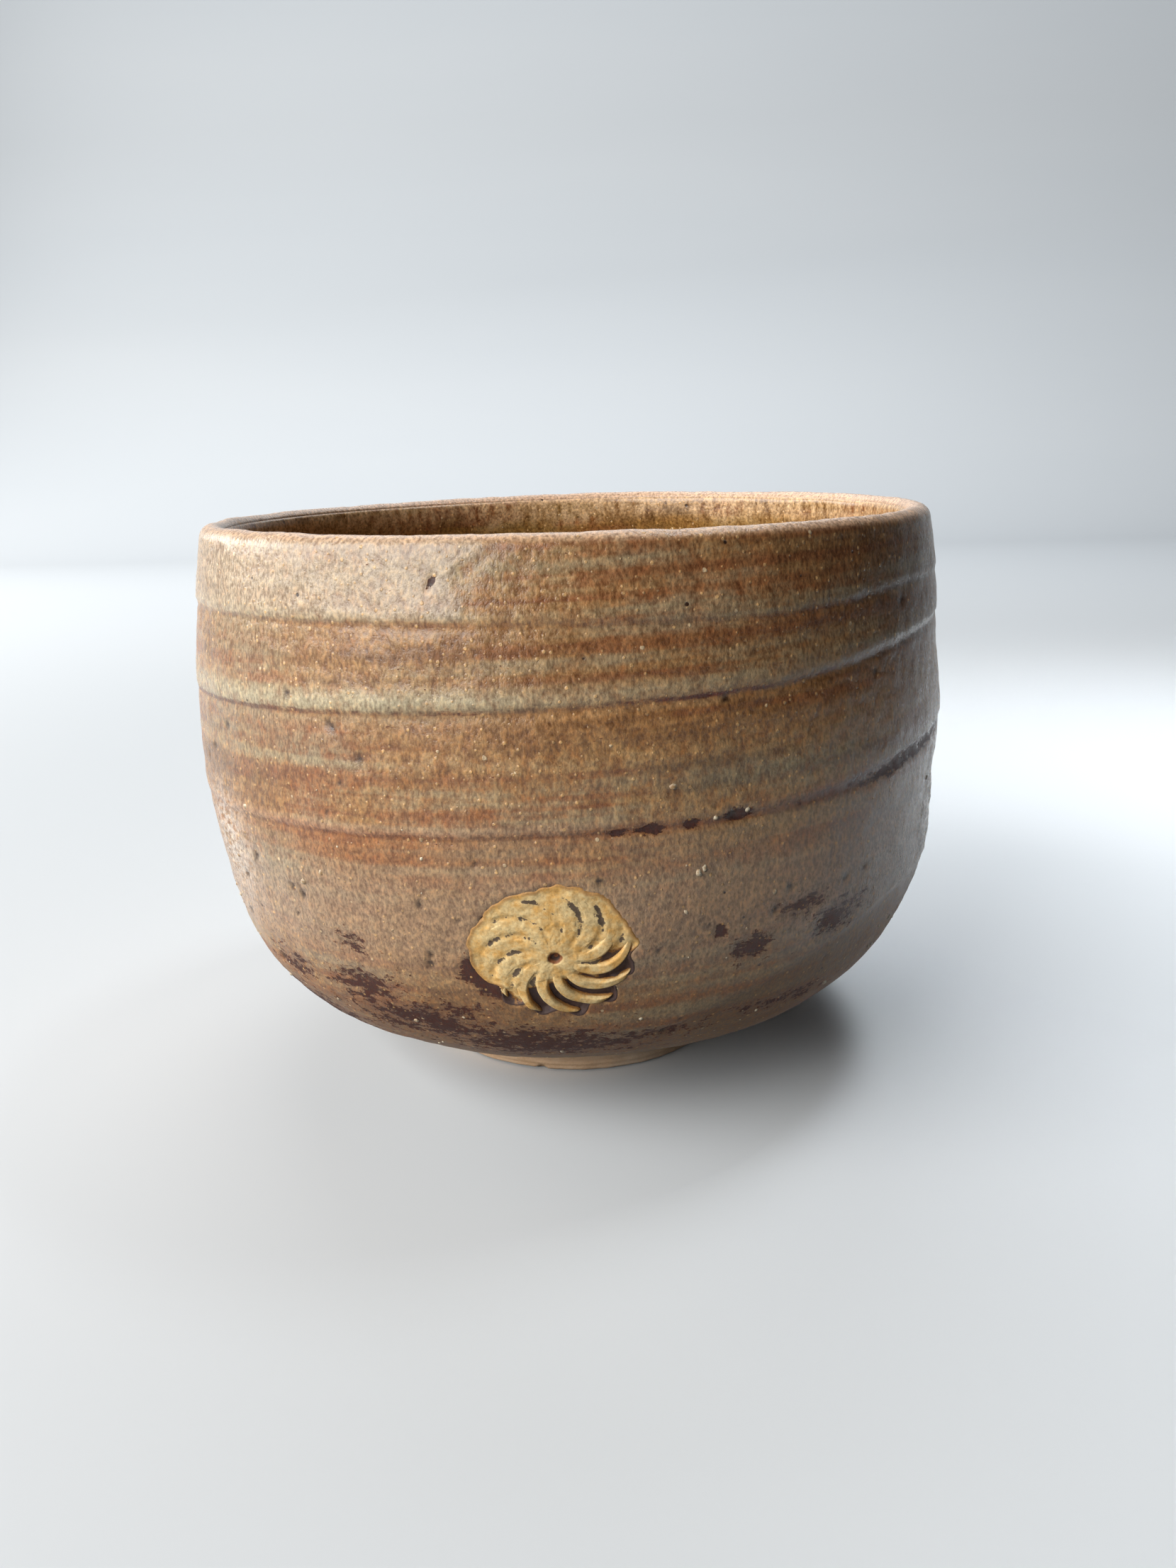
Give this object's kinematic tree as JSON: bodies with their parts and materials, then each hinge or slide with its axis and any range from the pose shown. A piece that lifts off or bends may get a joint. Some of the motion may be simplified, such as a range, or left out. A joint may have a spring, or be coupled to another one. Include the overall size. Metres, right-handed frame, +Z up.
{
  "type": "matcha bowl",
  "caption": "Wheel-thrown stoneware tea bowl with rounded sides, a turned foot ring, ash glaze in and out, and a round stamped slip flower on the front.",
  "frame": {"origin": "centre of the foot ring's ground face", "axes": "+Z up along the bowl's axis, -Y towards the front with the flower"},
  "size_m": [0.1182, 0.1182, 0.0865],
  "materials": {
    "stoneware": null,
    "bare_clay": "unglazed fired clay, matte, with fine turning marks",
    "ash_glaze": "satin ash glaze, mottled rust brown and grey green",
    "inside_glaze": "satin olive-brown glaze, glossier where it pools in the floor",
    "slip": "thin slip under glaze, satin, darker between the petals",
    "petal_slip": "yellow-ochre slip under thin glaze, satin",
    "feldspar": "white melted feldspar grains, glossy"
  },
  "bodies": {
    "root": {"clay_body": "stoneware", "foot_ring": "bare_clay", "outer_glaze": "ash_glaze", "inner_glaze": "inside_glaze", "flower_slip": "slip", "flower_petals": "petal_slip", "feldspar_grains": "feldspar"}
  },
  "joints": []
}
